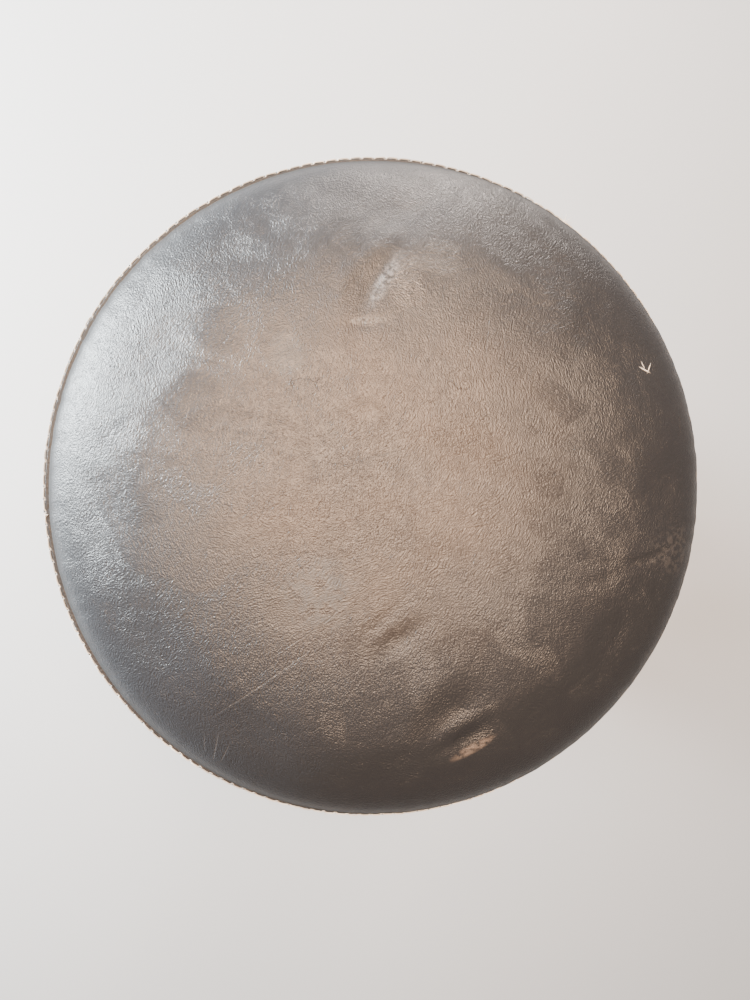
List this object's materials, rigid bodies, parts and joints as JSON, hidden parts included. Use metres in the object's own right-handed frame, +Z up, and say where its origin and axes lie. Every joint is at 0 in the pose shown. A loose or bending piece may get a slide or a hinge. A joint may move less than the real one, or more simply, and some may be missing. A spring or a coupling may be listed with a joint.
{
  "type": "adjustable swivel stool",
  "caption": "Round padded swivel stool on a telescopic column with a clamp and memory lock, over a folding base of braced legs with rubber boots.",
  "frame": {"origin": "on the floor, under the swivel axis, with the legs spread", "axes": "+Z up along the column and the swivel axis, X and Y between the legs; the hub's wing screw is on +X and the clamp's ears on -X"},
  "size_m": [0.378, 0.378, 0.4996],
  "materials": {
    "vinyl": "grained, satin",
    "foam": "open-cell foam",
    "plywood": "bare",
    "dust_cloth": "bonded cloth",
    "chrome": "polished",
    "black_paint": "satin powder coat",
    "zinc_steel": "zinc plated",
    "nylon": "moulded",
    "rubber": "moulded, matte"
  },
  "bodies": {
    "base": {"outer_tube": "chrome", "tube_plug": "nylon", "lower_hub": "black_paint", "clamp_collar": "black_paint", "clamp_liner": "nylon", "brace_1_pivot_pin": "zinc_steel", "brace_2_pivot_pin": "zinc_steel", "brace_3_pivot_pin": "zinc_steel", "brace_4_pivot_pin": "zinc_steel"},
    "sliding_hub": {"slide_hub": "black_paint", "leg_1_pivot_pin": "zinc_steel", "leg_2_pivot_pin": "zinc_steel", "leg_3_pivot_pin": "zinc_steel", "leg_4_pivot_pin": "zinc_steel"},
    "post": {"inner_post": "chrome", "thrust_washer": "zinc_steel"},
    "height_lock": {"memory_lock": "black_paint", "memory_lock_screw": "zinc_steel"},
    "seat": {"top_panel": "vinyl", "side_band": "vinyl", "foam_pad": "foam", "seat_board": "plywood", "dust_cloth": "dust_cloth", "seat_bracket": "black_paint", "swivel_bush": "nylon", "seat_bolt_1": "zinc_steel", "seat_bolt_2": "zinc_steel", "seat_bolt_3": "zinc_steel", "seat_bolt_4": "zinc_steel", "tee_nut_1": "zinc_steel", "tee_nut_2": "zinc_steel", "tee_nut_3": "zinc_steel", "tee_nut_4": "zinc_steel"},
    "clamp_screw": {"clamp_wing_screw": "zinc_steel"},
    "hub_screw": {"hub_wing_screw": "zinc_steel"},
    "seat_screw": {"swivel_lock_screw": "zinc_steel"},
    "leg_1": {"leg_1_left_bar": "chrome", "leg_1_right_bar": "chrome", "leg_1_boot": "rubber"},
    "brace_1": {"brace_1_left_bar": "chrome", "brace_1_right_bar": "chrome", "knee_1_pin": "zinc_steel"},
    "leg_2": {"leg_2_left_bar": "chrome", "leg_2_right_bar": "chrome", "leg_2_boot": "rubber"},
    "brace_2": {"brace_2_left_bar": "chrome", "brace_2_right_bar": "chrome", "knee_2_pin": "zinc_steel"},
    "leg_3": {"leg_3_left_bar": "chrome", "leg_3_right_bar": "chrome", "leg_3_boot": "rubber"},
    "brace_3": {"brace_3_left_bar": "chrome", "brace_3_right_bar": "chrome", "knee_3_pin": "zinc_steel"},
    "leg_4": {"leg_4_left_bar": "chrome", "leg_4_right_bar": "chrome", "leg_4_boot": "rubber"},
    "brace_4": {"brace_4_left_bar": "chrome", "brace_4_right_bar": "chrome", "knee_4_pin": "zinc_steel"}
  },
  "joints": [
    {"name": "base_fold", "type": "slide", "parent": "base", "child": "sliding_hub", "axis": [0, 0, 1], "range_m": [0, 0.07386]},
    {"name": "leg_1_fold", "type": "hinge", "parent": "sliding_hub", "child": "leg_1", "pos_m": [0.0239, 0.0239, 0.18699], "axis": [-0.7071, 0.7071, 0], "range_deg": [0, 44]},
    {"name": "leg_2_fold", "type": "hinge", "parent": "sliding_hub", "child": "leg_2", "pos_m": [-0.0239, 0.0239, 0.18699], "axis": [-0.7071, -0.7071, 0], "range_deg": [0, 44]},
    {"name": "leg_3_fold", "type": "hinge", "parent": "sliding_hub", "child": "leg_3", "pos_m": [-0.0239, -0.0239, 0.18699], "axis": [0.7071, -0.7071, 0], "range_deg": [0, 44]},
    {"name": "leg_4_fold", "type": "hinge", "parent": "sliding_hub", "child": "leg_4", "pos_m": [0.0239, -0.0239, 0.18699], "axis": [0.7071, 0.7071, 0], "range_deg": [0, 44]},
    {"name": "brace_1_fold", "type": "hinge", "parent": "base", "child": "brace_1", "pos_m": [0.0239, 0.0239, 0.052], "axis": [-0.7071, 0.7071, 0], "range_deg": [-44, 0]},
    {"name": "brace_2_fold", "type": "hinge", "parent": "base", "child": "brace_2", "pos_m": [-0.0239, 0.0239, 0.052], "axis": [-0.7071, -0.7071, 0], "range_deg": [-44, 0]},
    {"name": "brace_3_fold", "type": "hinge", "parent": "base", "child": "brace_3", "pos_m": [-0.0239, -0.0239, 0.052], "axis": [0.7071, -0.7071, 0], "range_deg": [-44, 0]},
    {"name": "brace_4_fold", "type": "hinge", "parent": "base", "child": "brace_4", "pos_m": [0.0239, -0.0239, 0.052], "axis": [0.7071, 0.7071, 0], "range_deg": [-44, 0]},
    {"name": "seat_height", "type": "slide", "parent": "base", "child": "post", "axis": [0, 0, 1], "range_m": [0, 0.11]},
    {"name": "height_lock_slide", "type": "slide", "parent": "post", "child": "height_lock", "axis": [0, 0, 1], "range_m": [0, 0.019]},
    {"name": "seat_swivel", "type": "hinge", "parent": "post", "child": "seat", "pos_m": [0, 0, 0.39585], "axis": [0, 0, 1], "continuous": true},
    {"name": "clamp_screw_turn", "type": "hinge", "parent": "base", "child": "clamp_screw", "pos_m": [-0.0333, 0, 0.31885], "axis": [0, 1, 0], "range_deg": [-360, 0]},
    {"name": "hub_screw_turn", "type": "hinge", "parent": "sliding_hub", "child": "hub_screw", "pos_m": [0.016, 0, 0.20799], "axis": [1, 0, 0], "range_deg": [0, 360]},
    {"name": "seat_screw_turn", "type": "hinge", "parent": "seat", "child": "seat_screw", "pos_m": [0, -0.0124, 0.39585], "axis": [0, -1, 0], "range_deg": [0, 360]}
  ],
  "couplings": [
    {"joint": "leg_1_fold", "follows": "base_fold", "rad_per_m": 10.397},
    {"joint": "leg_2_fold", "follows": "base_fold", "rad_per_m": 10.397},
    {"joint": "leg_3_fold", "follows": "base_fold", "rad_per_m": 10.397},
    {"joint": "leg_4_fold", "follows": "base_fold", "rad_per_m": 10.397},
    {"joint": "brace_1_fold", "follows": "base_fold", "rad_per_m": -10.397},
    {"joint": "brace_2_fold", "follows": "base_fold", "rad_per_m": -10.397},
    {"joint": "brace_3_fold", "follows": "base_fold", "rad_per_m": -10.397},
    {"joint": "brace_4_fold", "follows": "base_fold", "rad_per_m": -10.397}
  ]
}
